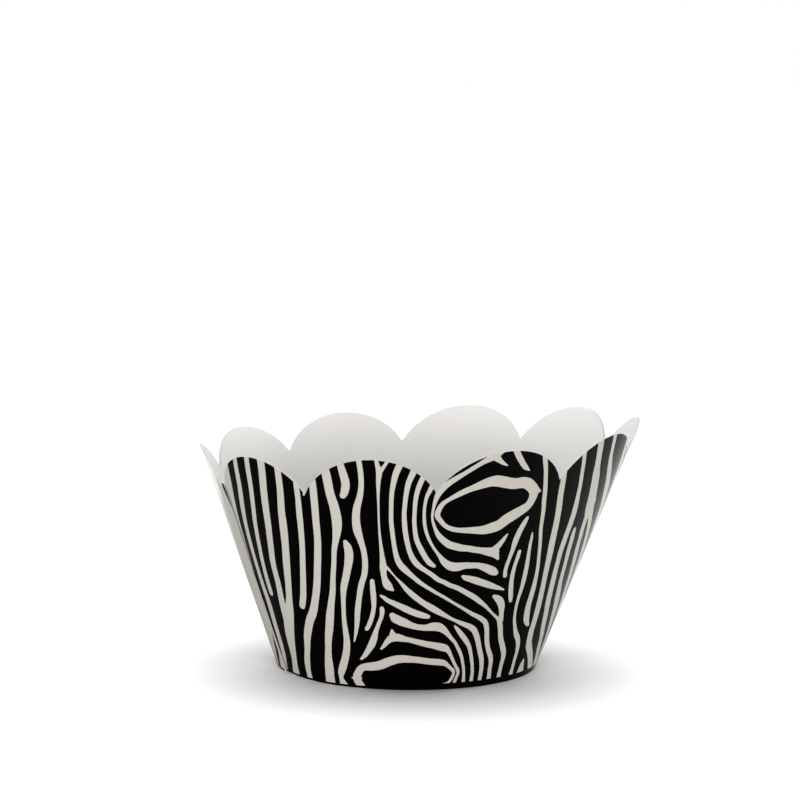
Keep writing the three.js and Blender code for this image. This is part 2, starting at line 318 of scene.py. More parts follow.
# Between the front of the print and its repeat at the back, nested chevrons fill the ring
CHEVRONS: dict[str, Stripe] = {
    "outer_left": (
        (67.5, 50, 1.4), (71, 45, 1.5), (75.3, 39, 1.6), (80, 33, 1.7), (85.2, 27, 1.7),
        (90, 22, 1.7), (94.5, 18.6, 1.9), (98.5, 18.4, 1.9), (101.5, 22, 1.7), (104.8, 27, 1.6),
        (108.6, 33, 1.5), (112.4, 39, 1.5), (116, 45, 1.4), (118.8, 50, 1.4),
    ),
    "middle": (
        (75.5, 50, 1.3), (79, 45, 1.4), (83.2, 39, 1.5), (88, 33, 1.6), (92.2, 29, 1.7),
        (95.8, 27.8, 1.8), (99, 30, 1.7), (102.5, 35, 1.5), (106.3, 41, 1.4), (111, 50, 1.3),
    ),
    "inner": (
        (83.5, 50, 1.2), (86.5, 45.5, 1.3), (90, 41, 1.4), (93.3, 38.2, 1.6), (95.6, 37.6, 1.7),
        (98, 39.6, 1.5), (100.6, 44, 1.3), (103.5, 50, 1.2),
    ),
    "innermost": ((91.2, 50, 1), (93, 47, 1.2), (94.6, 45.4, 1.4), (95.9, 47.2, 1.2), (97, 50, 1)),
    "partner": (
        (120, 17, 0.4), (117.6, 20, 0.8), (116.4, 24, 1), (117, 29, 1.1), (118.8, 34, 1.1),
        (120.7, 39, 1), (122, 43, 0.5),
    ),
}

# Beside the lap at the back, stripes run down into the plain white margin, which starts at this angle
MARGIN_START = 274.0
LAP_STRIPES: dict[str, Stripe] = {
    "upper": ((262.5, 50, 1.2), (266, 45, 1.3), (270.5, 39, 1.4), (276, 33, 1.5)),
    "middle": ((255, 50, 1.3), (258.5, 45, 1.4), (262.8, 39, 1.5), (267.6, 33, 1.6), (275, 25.5, 1.6)),
    "lower": (
        (247.3, 50, 1.4), (251, 45, 1.5), (255.3, 39, 1.6), (260, 33, 1.7), (265.2, 27, 1.7),
        (270.6, 21, 1.6), (277, 15.5, 1.5),
    ),
}

# Black that lies over the stripes: a narrow band along the lower edge, which is painted shade for the
# contact shadow under the card's lower edge, and the first dark stripe of the print where it crosses the lap
# Painted shade: a black band along the lower edge that stands in for the contact shadow under the card
LOWER_EDGE_PAINTED_SHADE: Stripe = (
    (-84, 0, 1), (-60, 0, 1), (-40, 0, 1), (-20, 0, 1.1), (-5, 0, 1.7), (10, 0, 2.5), (25, 0, 2.7),
    (45, 0, 2.7), (65, 0, 2.5), (85, 0, 2.2), (105, 0, 1.8), (125, 0, 1.5), (145, 0, 1.5), (165, 0, 1.6),
    (185, 0, 1.8), (205, 0, 2), (225, 0, 1.8), (245, 0, 1.5), (265, 0, 1.2), (280, 0, 1), (295, 0, 1),
)
LAP_INK: Stripe = (
    (293.4, 9, 0.8), (292, 6.5, 1.2), (290.4, 4, 1.5), (288, 2, 1.3), (286, 0, 1.2),
)
OVERPRINT_AND_PAINTED_SHADE = (LOWER_EDGE_PAINTED_SHADE, LAP_INK)

# How far round the ring the front of the print repeats at the back
BACK_REPEAT = 180.0


class Layer(Enum):
    """The three kinds of surface that the card shows."""

    OUTSIDE = 0
    INSIDE = 1
    CUT_EDGE = 2


@dataclass(frozen=True)
class Ring:
    """Sizes of the card ring in millimetres and degrees, the same as in the part's solid."""

    card: float = 0.35
    base_radius: float = 25.0
    mouth_radius: float = 42.4
    crest_height: float = 45.6
    mouth_lean: float = 2.2
    right_rise: float = 2.7
    front_rise: float = 1.0
    scallop_count: int = 10
    scallop_depth: float = 7.2
    seam_angle: float = -67.4
    lap_angle: float = 14.0
    glue: float = 0.15
    settling_angle: float = 36.0
    corner_lift: float = 0.5
    corner_lift_height: float = 7.0
    corner_lift_angle: float = 9.0

    @property
    def flare(self) -> float:
        """Half the cone's opening angle, in radians."""
        return math.atan2(self.mouth_radius - self.base_radius, self.crest_height)

    @property
    def slant(self) -> float:
        """Length of the card from its lower edge to a crest."""
        return math.hypot(self.mouth_radius - self.base_radius, self.crest_height)

    @property
    def valley_share(self) -> float:
        """Share of the slant that the rim's valleys reach."""
        return 1 - self.scallop_depth / self.slant

    @property
    def valley_height(self) -> float:
        """Height of the rim's valleys, measured up the card."""
        return self.valley_share * self.slant

    @property
    def blank_radius(self) -> float:
        """Radius of the flat blank's lower edge."""
        return self.base_radius / math.sin(self.flare)

    @property
    def scallop_angle(self) -> float:
        """Width of one scallop in degrees."""
        return 360 / self.scallop_count

    @property
    def start(self) -> float:
        """Angle of the under layer's end."""
        return self.seam_angle - self.lap_angle

    @property
    def end(self) -> float:
        """Angle of the upper layer's free edge."""
        return self.seam_angle + 360

    def radius(self, share: float) -> float:
        """Radius of the ring at a share of the slant."""
        return self.base_radius + (self.mouth_radius - self.base_radius) * share

    def rim(self, turn: np.ndarray) -> np.ndarray:
        """Height of the rim, measured up the card: scallops round the ring, and level on the under layer.

        Args:
            turn: degrees round the ring.

        Returns:
            Millimetres up the card, one for each angle.
        """
        chord = self.radius((self.valley_share + 1) / 2) * math.radians(self.scallop_angle)
        depth = self.scallop_depth
        arc = (chord * chord / 4 + depth * depth) / (2 * depth)
        scallops = np.clip((turn - self.seam_angle) / self.scallop_angle, 0, self.scallop_count)
        along = (scallops - np.minimum(np.floor(scallops), self.scallop_count - 1) - 0.5) * chord
        height = np.sqrt(np.maximum(arc * arc - along * along, 0)) - (arc - depth)
        return self.valley_height + np.where(turn < self.seam_angle, 0, np.maximum(height, 0))

    def flat(self, turn: Any, up: Any) -> np.ndarray:
        """Places on the flat blank, whose cone apex is the origin and whose front points along +Y.

        Args:
            turn: degrees round the ring.
            up: millimetres up the card.

        Returns:
            An array of x, y pairs in millimetres.
        """
        spread = np.radians(np.asarray(turn, float)) * math.sin(self.flare)
        reach = self.blank_radius + np.asarray(up, float)
        return np.stack([reach * np.sin(spread), reach * np.cos(spread)], axis=-1)


def put(tree: bpy.types.NodeTree, slot: bpy.types.NodeSocket, value: Any) -> None:
    """Gives a node's input a link or a value.

    Args:
        tree: the node tree.
        slot: the input socket.
        value: a Term to link, or a plain value to set.
    """
    if isinstance(value, Term):
        tree.links.new(value.socket, slot)
    else:
        slot.default_value = value


@dataclass
class Term:
    """A socket of a node tree that takes part in Python arithmetic; each operation adds a Math node."""

    tree: bpy.types.NodeTree
    socket: bpy.types.NodeSocket

    def math(self, operation: str, *values: Any) -> "Term":
        """Adds a Math node that works on this term.

        Args:
            operation: what the node does.
            values: its further inputs.

        Returns:
            The node's result.
        """
        node = self.tree.nodes.new("ShaderNodeMath")
        node.operation = operation
        for slot, value in zip(node.inputs, (self, *values)):
            put(self.tree, slot, value)
        return Term(self.tree, node.outputs[0])

    def __add__(self, other: Any) -> "Term":
        """This term plus another."""
        return self.math("ADD", other)

    def __sub__(self, other: Any) -> "Term":
        """This term less another."""
        return self.math("SUBTRACT", other)

    def __rsub__(self, other: Any) -> "Term":
        """A number less this term."""
        return self.math("MULTIPLY", -1.0).math("ADD", other)

    def __mul__(self, other: Any) -> "Term":
        """This term times another."""
        return self.math("MULTIPLY", other)

    def __truediv__(self, other: Any) -> "Term":
        """This term divided by another."""
        return self.math("DIVIDE", other)

    __radd__ = __add__
    __rmul__ = __mul__


# A Mix node's sockets for its factor and two colours, and for the mixed colour
COLOUR_MIX_INPUTS = (0, 6, 7)
COLOUR_MIX_OUTPUT = 2


@dataclass
class NodeSheet:
    """Adds nodes to one tree."""

    tree: bpy.types.NodeTree

    def node(
        self, kind: str, settings: dict[str, Any] | None = None, slots: tuple[Any, ...] = (), **sockets: Any,
    ) -> bpy.types.Node:
        """Adds one node.

        Args:
            kind: the node's type.
            settings: its properties, set before its sockets.
            slots: values or Terms for its first inputs, in order.
            sockets: values or Terms by input name, with underscores for spaces.

        Returns:
            The new node.
        """
        node = self.tree.nodes.new(kind)
        for name, value in (settings or {}).items():
            setattr(node, name, value)
        for slot, value in zip(node.inputs, slots):
            put(self.tree, slot, value)
        for name, value in sockets.items():
            put(self.tree, node.inputs[name.replace("_", " ")], value)
        return node

    def term(self, node: bpy.types.Node, output: str | int = 0) -> Term:
        """One output of a node as a Term."""
        return Term(self.tree, node.outputs[output])

    def mix(self, factor: Term, first: Any, second: Any) -> Term:
        """A mix of two colours.

        Args:
            factor: how much of the second colour.
            first: a colour or a Term.
            second: a colour or a Term.

        Returns:
            The mixed colour.
        """
        node = self.node("ShaderNodeMix", {"data_type": "RGBA"})
        for slot, value in zip(COLOUR_MIX_INPUTS, (factor, first, second)):
            put(self.tree, node.inputs[slot], value)
        return self.term(node, COLOUR_MIX_OUTPUT)

    def ease(self, value: Term, low: Any, high: Any) -> Term:
        """Nothing below one value, one above another, and a smooth step between them."""
        settings = {"interpolation_type": "SMOOTHSTEP"}
        return self.term(self.node("ShaderNodeMapRange", settings, Value=value, From_Min=low, From_Max=high))

    def vector(self, operation: str, *vectors: Term) -> Term:
        """A Vector Math node's result."""
        return self.term(self.node("ShaderNodeVectorMath", {"operation": operation}, vectors))


def cleared(owner: bpy.types.Material | bpy.types.World) -> NodeSheet:
    """Empties the node tree of a material or world.

    Args:
        owner: the material or world.

    Returns:
        A sheet that adds nodes to it.
    """
    owner.use_nodes = True
    owner.node_tree.nodes.clear()
    return NodeSheet(owner.node_tree)


def linked(name: str, data: bpy.types.ID) -> bpy.types.Object:
    """Puts a new object into the scene.

    Args:
        name: the object's name.
        data: its mesh, lamp or camera.

    Returns:
        The object.
    """
    made = bpy.data.objects.new(name, data)
    bpy.context.collection.objects.link(made)
    return made


def gathered(items: Any, fact: str, width: int = 1, kind: type = float) -> np.ndarray:
    """One fact of every item of a mesh.

    Args:
        items: the mesh's points, faces, corners or attribute values.
        fact: the name of the fact.
        width: how many numbers it has.
        kind: the kind of number.

    Returns:
        An array with a row for each item, or a plain list of numbers for width 1.
    """
    values = np.empty(len(items) * width, kind)
    items.foreach_get(fact, values)
    return values.reshape(-1, width) if width > 1 else values


@dataclass
class StripePrint:
    """The striped print, drawn on the flat blank."""

    ring: Ring
    step: float = 0.55
    cap_steps: int = 6
    least_gap: float = 1e-4
    least_width: float = 0.05
    margin_overrun: float = 4
    margin_heights: tuple[float, ...] = (-6, 0, 20, 40, 56)

    def middle(self, stripe: Stripe) -> np.ndarray:
        """A smooth line through a stripe's stations.

        Args:
            stripe: the stations.

        Returns:
            Rows of x, y and width in millimetres, about one for each step of length.
        """
        given = np.array(stripe, float)
        knots = np.column_stack([self.ring.flat(given[:, 0], given[:, 1]), given[:, 2]])
        closed = len(knots) > 3 and np.allclose(knots[0], knots[-1])
        before = knots[-2] if closed else 2 * knots[0] - knots[1]
        after = knots[1] if closed else 2 * knots[-1] - knots[-2]
        knots = np.vstack([before, knots, after])
        rows = []
        for index in range(1, len(knots) - 2):
            rows.append(self.span(knots[index - 1:index + 3]))
        rows.append(knots[-2:-1])
        return np.vstack(rows)

    def span(self, four: np.ndarray) -> np.ndarray:
        """The curve between the middle two of four knots, by the centripetal Catmull-Rom rule.

        Args:
            four: four rows of x, y and width.

        Returns:
            Rows from the second knot up to, not including, the third.
        """
        gaps = np.sqrt(np.maximum(np.linalg.norm(np.diff(four[:, :2], axis=0), axis=1), self.least_gap))
        times = np.concatenate([[0], np.cumsum(gaps)])
        length = np.linalg.norm(four[2, :2] - four[1, :2])
        count = max(1, math.ceil(length / self.step))
        now = np.linspace(times[1], times[2], count, endpoint=False)[:, None]

        def blend(first: Any, second: Any, low: float, high: float) -> np.ndarray:
            """Moves from one row to the other between two times."""
            return (first * (high - now) + second * (now - low)) / (high - low)

        a, b, c = (blend(four[i], four[i + 1], times[i], times[i + 1]) for i in range(3))
        d = blend(a, b, times[0], times[2])
        e = blend(b, c, times[1], times[3])
        return blend(d, e, times[1], times[2])

    def outline(self, stripe: Stripe) -> list[np.ndarray]:
        """The closed outline of a stripe with round ends, or the two rings of a closed one.

        Args:
            stripe: the stations.

        Returns:
            One or two closed loops of x, y pairs; a closed stripe's second loop is its hole.
        """
        rows = self.middle(stripe)
        line, half = rows[:, :2], np.maximum(rows[:, 2:], self.least_width) / 2
        closed = len(rows) > 3 and np.allclose(rows[0], rows[-1])
        if closed:
            line, half = line[:-1], half[:-1]
            along = np.roll(line, -1, axis=0) - np.roll(line, 1, axis=0)
        else:
            along = np.gradient(line, axis=0)
        along /= np.linalg.norm(along, axis=1)[:, None]
        across = np.column_stack([-along[:, 1], along[:, 0]])
        left, right = line + across * half, line - across * half
        if closed:
            return [left, right]
        loops = [left, self.cap(line[-1], across[-1], along[-1], half[-1, 0])]
        loops += [right[::-1], self.cap(line[0], -across[0], -along[0], half[0, 0])]
        return [np.vstack(loops)]

    def cap(self, end: np.ndarray, across: np.ndarray, along: np.ndarray, half: float) -> np.ndarray:
        """Points of a stripe's round end, between its two corners."""
        angles = np.linspace(0, math.pi, self.cap_steps + 2)[1:-1, None]
        return end + half * (np.cos(angles) * across + np.sin(angles) * along)

    def stripes(self) -> list[Stripe]:
        """All white stripes.

        Returns:
            The stripes of the front, their repeat at the back, and what fills in between.
        """
        tables = (LEFT_STRIPES, NEST_STRIPES, LOWER_STRIPES, RIGHT_STRIPES)
        front = [stripe for table in tables for stripe in table.values()]
        repeat = [turned(stripe, BACK_REPEAT) for stripe in front[1:]]
        return front + repeat + [*CHEVRONS.values(), *LAP_STRIPES.values(), self.margin()]

    def margin(self) -> Stripe:
        """The plain white margin beside the free edge.

        Returns:
            One wide stripe.
        """
        end = self.ring.end + self.margin_overrun
        middle = (MARGIN_START + end) / 2
        wide = math.radians(end - MARGIN_START)
        slant = self.ring.slant
        return tuple((middle, up, wide * self.ring.radius(up / slant)) for up in self.margin_heights)


def turned(stripe: Stripe, angle: float) -> Stripe:
    """The same stripe further round the ring."""
    return tuple((turn + angle, up, width) for turn, up, width in stripe)


def winding(points: np.ndarray, loop: np.ndarray, at_once: int = 64) -> np.ndarray:
    """How often a closed loop winds round each point.

    Args:
        points: x, y pairs to test.
        loop: the corners of the loop in order.
        at_once: about how many sides of the loop are tested together.

    Returns:
        The winding number of each point.
    """
    count = np.zeros(len(points), int)
    low, high = loop.min(axis=0), loop.max(axis=0)
    near = np.flatnonzero(np.all((points > low) & (points < high), axis=1))
    px, py = points[near, 0][:, None], points[near, 1][:, None]
    after = np.roll(loop, -1, axis=0)
    for part in np.array_split(np.arange(len(loop)), max(1, len(loop) // at_once)):
        ax, ay = loop[part].T
        bx, by = after[part].T
        side = (bx - ax) * (py - ay) - (px - ax) * (by - ay)
        rising = (ay <= py) & (by > py) & (side > 0)
        falling = (ay > py) & (by <= py) & (side < 0)
        count[near] += rising.sum(axis=1) - falling.sum(axis=1)
    return count


@dataclass
class Blank:
    """The flat die-cut sheet as a thin slab, its outer face divided along the print's outlines.

    The clear distances are shares of the grid, and the bake sizes are shares of the unit square.
    """

    ring: Ring
    artwork: StripePrint
    grid: float = 1.3
    inside_grid: float = 2.6
    scallop_points: int = 24
    flap_points: int = 12
    side_points: int = 34
    lower_points: int = 300
    side_clear: float = 0.6
    end_clear: float = 0.5
    rim_clear: float = 0.45
    joined: float = 1e-4
    bake_margin: float = 0.02
    bake_width: float = 0.96
    bake_rows: tuple[float, ...] = (0.02, 0.34, 0.66)
    bake_row_height: float = 0.27
    bake_edge: tuple[float, float] = (0.95, 0.97)
    points: list[tuple[float, ...]] = field(default_factory=list)
    faces: list[tuple[int, ...]] = field(default_factory=list)
    layers: list[Layer] = field(default_factory=list)

    def die_line(self) -> np.ndarray:
        """The sheet's outline: along the rim, down the free edge, back along the lower edge and up.

        Returns:
            An array of x, y pairs.
        """
        ring = self.ring
        flap = np.linspace(ring.start, ring.seam_angle, self.flap_points)[:-1]
        rim = np.linspace(ring.seam_angle, ring.end, ring.scallop_count * self.scallop_points + 1)
        top = np.concatenate([flap, rim])
        down = np.linspace(ring.valley_height, 0, self.side_points)[1:-1]
        lower = np.linspace(ring.end, ring.start, self.lower_points)
        sides = [ring.flat(top, ring.rim(top)), ring.flat(ring.end, down), ring.flat(lower, 0)]
        return np.vstack([*sides, ring.flat(ring.start, down[::-1])])

    def inner_points(self, grid: float) -> np.ndarray:
        """An even scatter of points over the sheet, a little inside its outline.

        Args:
            grid: the distance between neighbours in millimetres.

        Returns:
            An array of x, y pairs.
        """
        ring = self.ring
        rows = []
        for number, up in enumerate(np.arange(grid * self.side_clear, ring.slant, grid)):
            pitch = math.degrees(grid / ring.radius(up / ring.slant))
            shift = pitch / 2 if number % 2 else 0
            first = ring.start + pitch * self.side_clear + shift
            turn = np.arange(first, ring.end - pitch * self.end_clear, pitch)
            rows.append(ring.flat(turn[ring.rim(turn) - up > grid * self.rim_clear], up))
        return np.vstack(rows)

    def triangulate(
        self, outline: np.ndarray, loops: list[np.ndarray], grid: float,
    ) -> tuple[np.ndarray, np.ndarray]:
        """Divides the sheet into triangles whose sides follow its outline and the given loops.

        Args:
            outline: the sheet's outline.
            loops: closed loops that the triangles may not cross.
            grid: the distance between the points in between.

        Returns:
            The points, and the corners of each triangle inside the outline, turning anticlockwise.
        """
        loops = [outline, *loops]
        edges = []
        count = 0
        for loop in loops:
            order = np.arange(len(loop)) + count
            edges.append(np.column_stack([order, np.roll(order, -1)]))
            count += len(loop)
        given = [Vector(pair) for pair in np.vstack([*loops, self.inner_points(grid)]).tolist()]
        made = delaunay_2d_cdt(given, np.vstack(edges).tolist(), [], 0, self.joined, False)
        where = np.array([tuple(point) for point in made[0]])
        corners = np.array(made[2], int)
        corners = corners[winding(where[corners].mean(axis=1), outline) != 0]
        a, b, c = (where[corners[:, i]] for i in range(3))
        clockwise = (b[:, 0] - a[:, 0]) * (c[:, 1] - a[:, 1]) < (b[:, 1] - a[:, 1]) * (c[:, 0] - a[:, 0])
        corners[clockwise] = corners[clockwise][:, ::-1]
        return where, corners

    def border(self, corners: np.ndarray) -> list[int]:
        """The points along the edge of a triangulated sheet, in order, with the sheet on the left.

        Args:
            corners: the corners of each triangle.

        Returns:
            The numbers of the points.
        """
        sides: dict[tuple[int, int], None] = {}
        for a, b, c in corners.tolist():
            for side in ((a, b), (b, c), (c, a)):
                if side[::-1] in sides:
                    del sides[side[::-1]]
                else:
                    sides[side] = None
        following = dict(sides.keys())
        first = next(iter(following))
        walk = [first]
        while following[walk[-1]] != first:
            walk.append(following[walk[-1]])
        return walk

    def in_ink_or_painted_shade(self, middles: np.ndarray) -> np.ndarray:
        """Which places on the outer face are black: printed, or painted shade along the lower edge.

        Args:
            middles: x, y pairs.

        Returns:
            One truth value for each.
        """
        white = np.zeros(len(middles), bool)
        for stripe in self.artwork.stripes():
            inside = np.zeros(len(middles), bool)
            for loop in self.artwork.outline(stripe):
                inside ^= winding(middles, loop) != 0
            white |= inside
        # The band of painted shade along the lower edge and the ink over the lap cover the white stripes
        for stripe in OVERPRINT_AND_PAINTED_SHADE:
            white &= winding(middles, self.artwork.outline(stripe)[0]) == 0
        return ~white

    def add(self, faces: list[tuple[int, ...]], layer: Layer) -> None:
        """Adds faces of one layer."""
        self.faces += faces
        self.layers += [layer] * len(faces)

    def build(self) -> np.ndarray:
        """Fills the lists of points and faces of the whole slab, the outer face first.

        Returns:
            For each triangle of the outer face, whether it is black, printed or painted shade.
        """
        half = self.ring.card / 2
        loops = []
        for stripe in [*self.artwork.stripes(), *OVERPRINT_AND_PAINTED_SHADE]:
            loops += self.artwork.outline(stripe)
        where, corners = self.triangulate(self.die_line(), loops, self.grid)
        used, corners = np.unique(corners, return_inverse=True)
        where, corners = where[used], corners.reshape(-1, 3)
        self.points = [(x, y, half) for x, y in where.tolist()]
        self.add([tuple(face) for face in corners.tolist()], Layer.OUTSIDE)
        walk = self.border(corners)
        back, back_corners = self.triangulate(where[walk], [], self.inside_grid)
        offset = len(self.points)
        self.points += [(x, y, -half) for x, y in back.tolist()]
        self.add([(offset + c, offset + b, offset + a) for a, b, c in back_corners.tolist()], Layer.INSIDE)
        strip = []
        for place, start in enumerate(walk):
            following = (place + 1) % len(walk)
            strip.append((walk[following], start, offset + place, offset + following))
        self.add(strip, Layer.CUT_EDGE)
        return self.in_ink_or_painted_shade(where[corners].mean(axis=1))

    def bake_layout(self) -> np.ndarray:
        """The flat layout for baking, inside the unit square.

        Returns:
            One u, v pair for each corner of each face: the printed side in two rows, then the plain side,
            then the cut edge as a strip.
        """
        ring = self.ring
        flat = np.array(self.points)
        turn = np.degrees(np.arctan2(flat[:, 0], flat[:, 1])) / math.sin(ring.flare)
        up = np.hypot(flat[:, 0], flat[:, 1]) - ring.blank_radius
        half_way = (ring.start + ring.end) / 2
        step = self.bake_width / self.layers.count(Layer.CUT_EDGE)
        here = self.bake_margin
        pairs = []
        for face, layer in zip(self.faces, self.layers):
            corners = list(face)
            if layer is Layer.CUT_EDGE:
                low, high = self.bake_edge
                pairs += [(here + step, high), (here, high), (here, low), (here + step, low)]
                here += step
                continue
            low, high, row = ring.start, ring.end, 2
            if layer is Layer.OUTSIDE:
                right = turn[corners].mean() > half_way
                low, high, row = (half_way, ring.end, 1) if right else (ring.start, half_way, 0)
            across = self.bake_margin + self.bake_width * (turn[corners] - low) / (high - low)
            along = self.bake_rows[row] + self.bake_row_height * up[corners] / ring.slant
            pairs += list(zip(across.tolist(), along.tolist()))
        return np.array(pairs)

    def mesh(self) -> bpy.types.Mesh:
        """Makes the slab.

        Returns:
            A mesh in millimetres, with its layers, its print with the painted shade along the lower edge, and
            its bake layout.
        """
        inked_or_painted_shade = self.build()
        mesh = bpy.data.meshes.new("flat_blank")
        mesh.from_pydata(self.points, [], self.faces)
        facts = {
            "ink_and_painted_shade": np.append(inked_or_painted_shade, np.zeros(len(self.faces) - len(inked_or_painted_shade))),
            "printed_side": np.array([layer is Layer.OUTSIDE for layer in self.layers], float),
            "cut_edge": np.array([layer is Layer.CUT_EDGE for layer in self.layers], float),
        }
        for name, values in facts.items():
            mesh.attributes.new(name, "FLOAT", "FACE").data.foreach_set("value", values)
        mesh.uv_layers.new(name="OFBake").data.foreach_set("uv", self.bake_layout().ravel())
        return mesh


@dataclass
class WrapTree:
    """Geometry Nodes that curve the flat blank into the flared ring."""

    ring: Ring
    name: str = "curve_blank_into_ring"
    nudge: float = 0.05

    def sizes(self) -> dict[str, float]:
        """The tree's sizes.

        Returns:
            The value of each named input.
        """
        ring = self.ring
        names = (
            "blank_radius", "slant", "base_radius", "mouth_radius", "crest_height", "mouth_lean",
            "right_rise", "front_rise", "seam_angle", "settling_angle", "valley_height", "corner_lift",
            "corner_lift_angle", "corner_lift_height",
        )
        sizes = {name: getattr(ring, name) for name in names}
        sizes["flare_sine"] = math.sin(ring.flare)
        sizes["flare_cosine"] = math.cos(ring.flare)
        sizes["under_layer_inset"] = ring.card + ring.glue
        sizes["free_edge_angle"] = ring.end
        return sizes

    def place(self, sheet: NodeSheet, size: dict[str, Term], turn: Term, up: Term, side: Term) -> Term:
        """Where a point of the blank goes.

        Args:
            sheet: adds the nodes.
            size: the tree's inputs.
            turn: degrees round the ring.
            up: millimetres up the card.
            side: millimetres out from the middle of the card.

        Returns:
            The place in metres, as a vector.
        """
        angle = turn.math("RADIANS")
        sine, cosine = angle.math("SINE"), angle.math("COSINE")
        share = up / size["slant"]
        settled = sheet.ease(turn - size["seam_angle"], 0.0, size["settling_angle"])
        from_edge = sheet.ease(size["free_edge_angle"] - turn, 0.0, size["corner_lift_angle"])
        below_rim = sheet.ease(size["valley_height"] - up, 0.0, size["corner_lift_height"])
        inset = size["under_layer_inset"] * (1.0 - settled)
        lift = size["corner_lift"] * (1.0 - from_edge) * (1.0 - below_rim)
        radius = size["base_radius"] + (size["mouth_radius"] - size["base_radius"]) * share
        radius = radius + (side - inset) / size["flare_cosine"] + lift
        height = size["crest_height"] + size["right_rise"] * sine + size["front_rise"] * cosine
        point = sheet.node(
            "ShaderNodeCombineXYZ",
            X=(radius * sine + size["mouth_lean"] * share) * MM,
            Y=radius * cosine * -MM,
            Z=height * share * MM,
        )
        return sheet.term(point)

    def build(self, material: bpy.types.Material) -> bpy.types.NodeTree:
        """Makes the tree.

        Args:
            material: the finish that it sets.

        Returns:
            The node tree, with one named input for each size.
        """
        tree = bpy.data.node_groups.new(self.name, "GeometryNodeTree")
        for direction in ("INPUT", "OUTPUT"):
            tree.interface.new_socket("Geometry", in_out=direction, socket_type="NodeSocketGeometry")
        for name in self.sizes():
            tree.interface.new_socket(name, in_out="INPUT", socket_type="NodeSocketFloat")
        sheet = NodeSheet(tree)
        given = sheet.node("NodeGroupInput")
        size = {name: sheet.term(given, name) for name in self.sizes()}
        here = sheet.node("ShaderNodeSeparateXYZ", Vector=sheet.term(sheet.node("GeometryNodeInputPosition")))
        x, y, side = (sheet.term(here, axis) for axis in "XYZ")
        turn = x.math("ARCTAN2", y).math("DEGREES") / size["flare_sine"]
        up = (x * x + y * y).math("SQRT") - size["blank_radius"]
        place = self.place(sheet, size, turn, up, side)
        across = sheet.vector("SUBTRACT", self.place(sheet, size, turn + self.nudge, up, side), place)
        along = sheet.vector("SUBTRACT", self.place(sheet, size, turn, up + self.nudge, side), place)
        facing = sheet.vector("NORMALIZE", sheet.vector("CROSS_PRODUCT", across, along))
        kept = sheet.node(
            "GeometryNodeStoreNamedAttribute", {"data_type": "FLOAT_VECTOR", "domain": "POINT"},
            Geometry=sheet.term(given, "Geometry"), Name="facing", Value=facing,
        )
        moved = sheet.node("GeometryNodeSetPosition", Geometry=sheet.term(kept), Position=place)
        real = sheet.node("GeometryNodeRealizeInstances", Geometry=sheet.term(moved))
        dressed = sheet.node("GeometryNodeSetMaterial", Geometry=sheet.term(real), Material=material)
        sheet.node("NodeGroupOutput", Geometry=sheet.term(dressed))
        return tree


@dataclass(frozen=True)
class PrintedCard:
    """Gloss-coated white card, black print and painted shade; colours are linear, and a noise is its scale
    and detail.
    """

    paper: Colour = (0.64, 0.592, 0.55, 1)
    paper_cool: Colour = (0.60, 0.592, 0.555, 1)
    # The black serves both the print and the band of painted shade along the lower edge
    ink_and_painted_shade: Colour = (0.0004, 0.0004, 0.0004, 1)
    thin_ink_and_painted_shade: Colour = (0.0014, 0.0016, 0.0014, 1)
    plain: Colour = (0.74, 0.735, 0.725, 1)
    # The cut edge's raw card core is greyer than the coated face, and it is darker still as painted shade, so
    # the lap's free edge reads as a shaded gap
    core_and_painted_shade: Colour = (0.50, 0.485, 0.47, 1)
    plain_roughness: float = 0.62
    coated_roughness: float = 0.30
    mottle_roughness: float = 0.05
    coat_roughness: float = 0.07
    coat_ior: float = 1.08
    plain_fibre: float = 0.55
    coated_fibre: float = 0.20
    waviness: float = 0.5
    relief_strength: float = 0.22
    relief_depth: float = 0.00012
    cloud: tuple[float, float] = (45, 3)
    mottle: tuple[float, float] = (900, 2)
    fibre: tuple[float, float] = (2600, 4)
    wave: tuple[float, float] = (260, 1)

    def build(self) -> bpy.types.Material:
        """Makes the finish, which reads the print and the painted shade from the card's own attributes.

        Returns:
            The material.
        """
        material = bpy.data.materials.new("printed_card")
        sheet = cleared(material)
        facts = ("ink_and_painted_shade", "printed_side", "cut_edge")
        ink_and_painted_shade, printed_side, cut_edge = (
            sheet.term(sheet.node("ShaderNodeAttribute", {"attribute_name": name}), "Fac") for name in facts
        )
        place = sheet.term(sheet.node("ShaderNodeTexCoord"), "Object")
        cloud, mottle, fibre, wave = (
            sheet.term(sheet.node("ShaderNodeTexNoise", Vector=place, Scale=scale, Detail=detail))
            for scale, detail in (self.cloud, self.mottle, self.fibre, self.wave)
        )
        paper = sheet.mix(cloud, self.paper, self.paper_cool)
        # Black, mottled, for the print and for the painted shade along the lower edge
        outside = sheet.mix(ink_and_painted_shade, paper, sheet.mix(mottle, self.ink_and_painted_shade, self.thin_ink_and_painted_shade))
        # Plain inside, the cut edge darkened partly as painted shade, and the printed outside
        colour = sheet.mix(printed_side, sheet.mix(cut_edge, self.plain, self.core_and_painted_shade), outside)
        smoother = (self.plain_roughness - self.coated_roughness) * printed_side
        roughness = self.plain_roughness - smoother + self.mottle_roughness * (mottle - ink_and_painted_shade)
        relief = fibre * (self.plain_fibre - (self.plain_fibre - self.coated_fibre) * printed_side)
        relief = relief + wave * self.waviness
        bump = sheet.node(
            "ShaderNodeBump", Strength=self.relief_strength, Distance=self.relief_depth, Height=relief,
        )
        shader = sheet.node(
            "ShaderNodeBsdfPrincipled", Base_Color=colour, Roughness=roughness, Specular_IOR_Level=0.0,
            Coat_Weight=printed_side, Coat_Roughness=self.coat_roughness, Coat_IOR=self.coat_ior,
            Normal=sheet.term(bump),
        )
        sheet.node("ShaderNodeOutputMaterial", Surface=sheet.term(shader))
        return material


